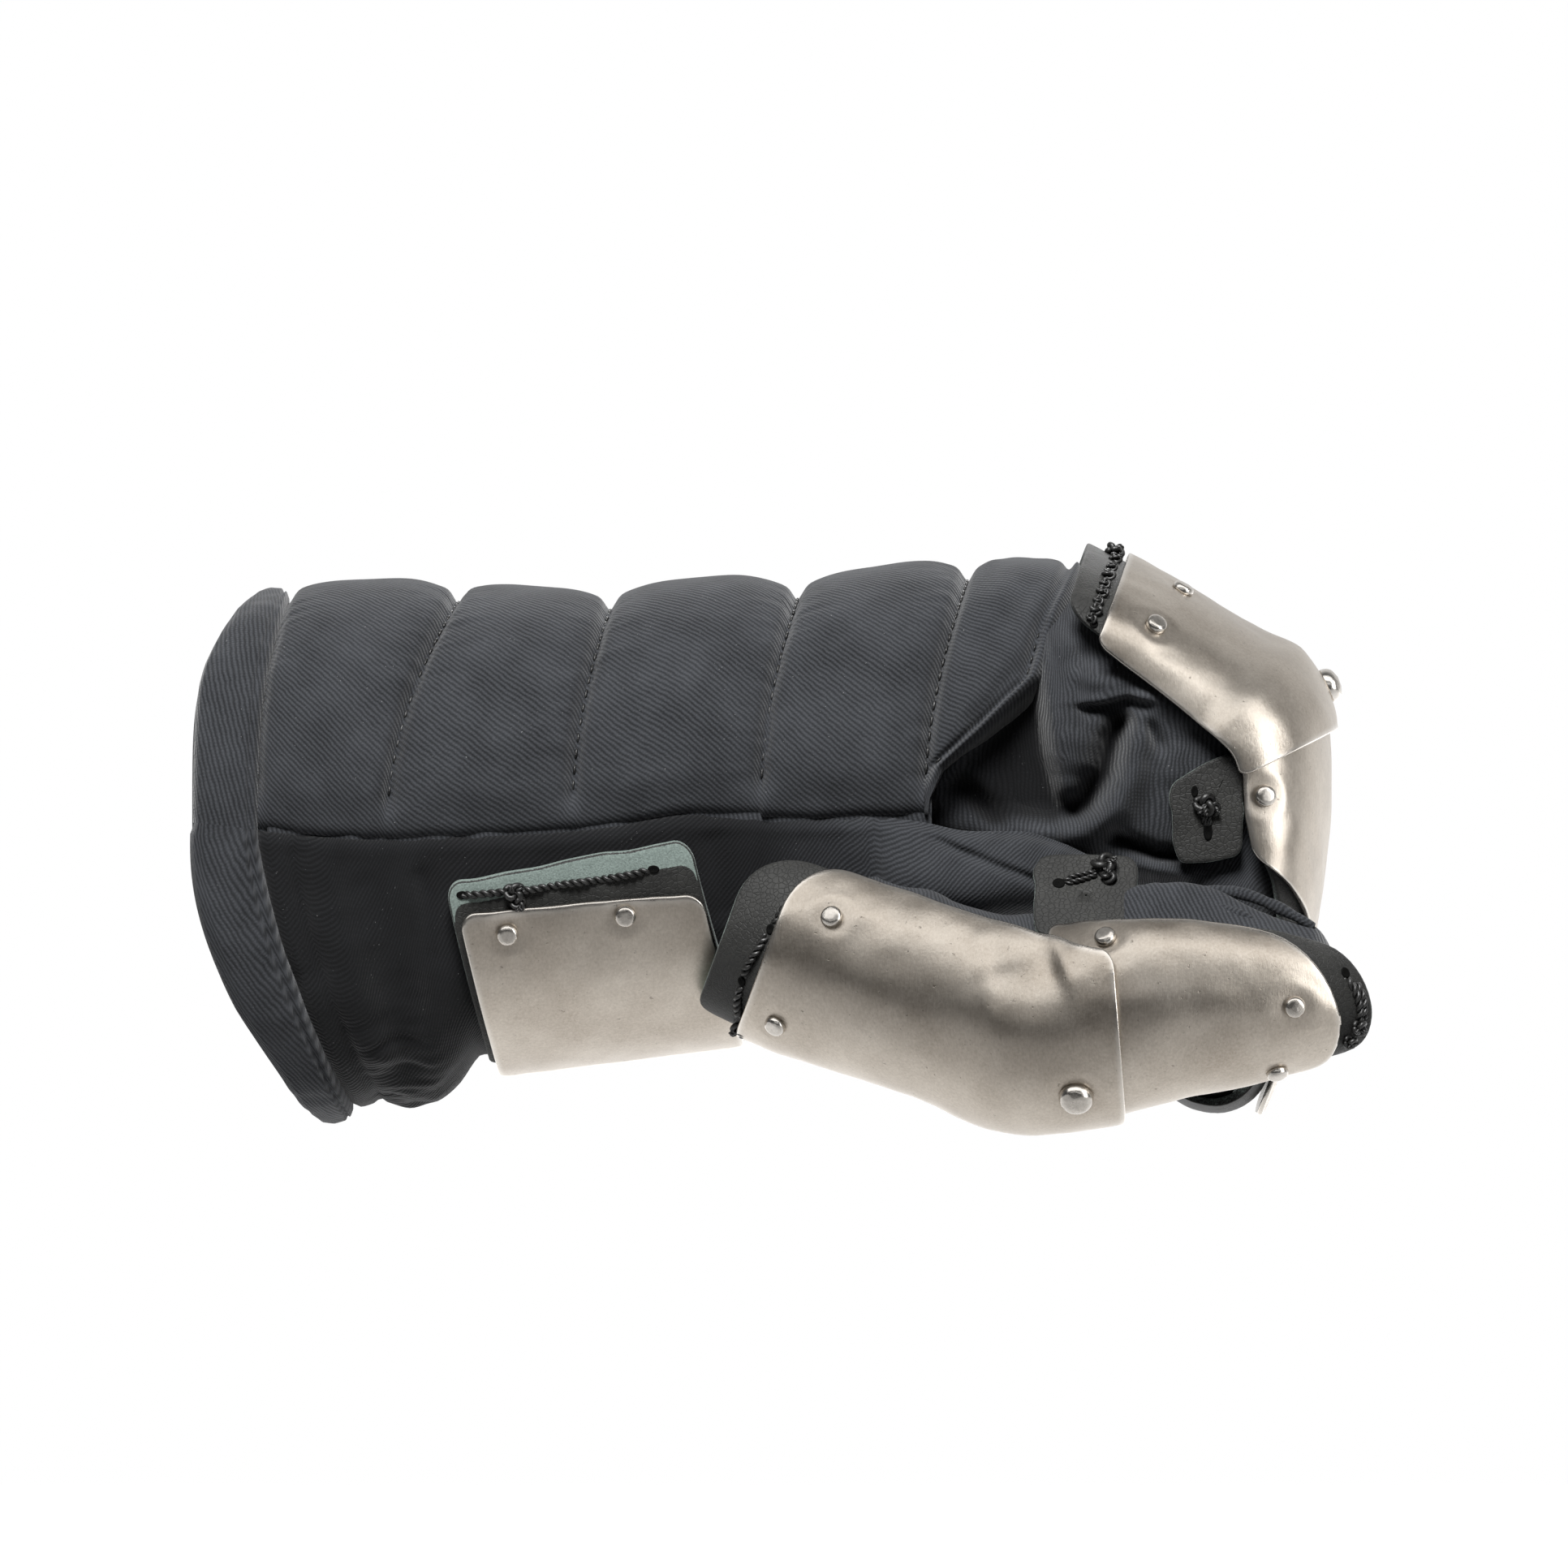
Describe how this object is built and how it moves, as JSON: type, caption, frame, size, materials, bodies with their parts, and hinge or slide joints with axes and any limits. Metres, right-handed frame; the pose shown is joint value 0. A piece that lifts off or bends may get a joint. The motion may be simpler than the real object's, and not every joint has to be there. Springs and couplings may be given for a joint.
{
  "type": "armoured gauntlet",
  "caption": "Padded mitten gauntlet for the left hand, curled in a loose fist, with steel plates riveted to leather over the thumb, wrist and fingers.",
  "frame": {"origin": "the middle of the wrist, inside the cuff, where the wearer's arm holds the gauntlet up", "axes": "+X from the wrist to the knuckles, +Y away from the thumb side, +Z out of the back of the hand"},
  "size_m": [0.2571, 0.1382, 0.1292],
  "materials": {
    "quilted_cloth": "matt black cotton twill, quilted in channels",
    "cloth": "matt black cotton twill",
    "leather": "matt black leather with grey-green suede edges",
    "steel": "satin, finely gritty, with bright edges and light scuffs",
    "rivet_steel": "hammered bright heads",
    "lacing": "black waxed braided cord and thread"
  },
  "bodies": {
    "root": {"back_pad": "quilted_cloth", "knuckle_pad": "quilted_cloth", "cuff_hem": "cloth", "palm_panel": "cloth", "finger_pocket": "cloth", "thumb_stall": "cloth", "thumb_base_leather": "leather", "thumb_leather": "leather", "finger_leather": "leather", "thumb_base_plate": "steel", "thumb_plate": "steel", "thumb_tip_plate": "steel", "knuckle_plate": "steel", "fingertip_plate": "steel", "base_rivet_1": "rivet_steel", "base_rivet_2": "rivet_steel", "thumb_rivet_1": "rivet_steel", "thumb_rivet_2": "rivet_steel", "thumb_joint_rivet": "rivet_steel", "thumb_tip_rivet_1": "rivet_steel", "thumb_tip_rivet_2": "rivet_steel", "thumb_tip_rivet_3": "rivet_steel", "finger_joint_rivet": "rivet_steel", "knuckle_rivet_near_1": "rivet_steel", "knuckle_rivet_near_2": "rivet_steel", "knuckle_rivet_far_1": "rivet_steel", "knuckle_rivet_far_2": "rivet_steel", "fingertip_rivet_near_1": "rivet_steel", "fingertip_rivet_near_2": "rivet_steel", "fingertip_rivet_far_1": "rivet_steel", "fingertip_rivet_far_2": "rivet_steel"}
  },
  "joints": []
}
